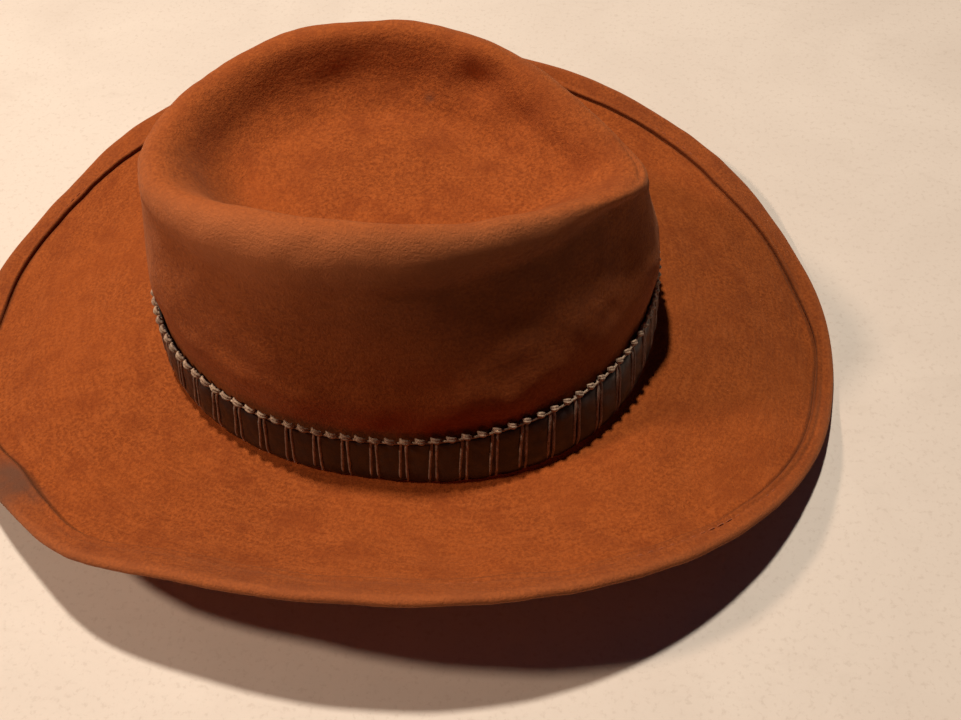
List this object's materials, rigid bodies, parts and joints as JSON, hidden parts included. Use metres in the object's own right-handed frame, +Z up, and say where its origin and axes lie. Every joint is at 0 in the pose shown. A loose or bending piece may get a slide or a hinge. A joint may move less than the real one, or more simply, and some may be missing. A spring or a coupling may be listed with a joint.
{
  "type": "cowboy hat",
  "caption": "Western felt hat with a dished teardrop crown, curled brim with a stitched overwelt, laced leather hatband, leather sweatband and satin lining.",
  "frame": {"origin": "on the table, under the middle of the brim's outline", "axes": "+X towards the hat's front, +Y towards the wearer's left, +Z up"},
  "size_m": [0.388, 0.3085, 0.1245],
  "materials": {
    "felt": "brushed fur felt, rust brown, soft nap",
    "welt_thread": "matt sewing thread",
    "sweat_leather": "smooth tan leather",
    "reed": "plain plastic strip",
    "satin": "satin weave, glossy",
    "band_leather": "dark brown padded leather, slightly polished",
    "waxed_thread": "waxed grey-tan thread",
    "label": "blank printed-paper stock"
  },
  "bodies": {
    "hat": {"felt_body": "felt", "welt_stitching": "welt_thread", "sweatband": "sweat_leather", "sweatband_reed": "reed", "reed_binding": "satin", "sweatband_stitching": "welt_thread", "sweatband_bow": "satin", "size_label": "label", "lining_side": "satin", "lining_piping": "waxed_thread", "lining_tip": "satin"},
    "hatband": {"hatband_strap": "band_leather", "hatband_lacing": "waxed_thread", "hatband_joint_tab": "band_leather"}
  },
  "joints": [
    {"name": "hatband_lift", "type": "slide", "parent": "hat", "child": "hatband", "axis": [0, 0, 1], "range_m": [0, 0.13]}
  ]
}
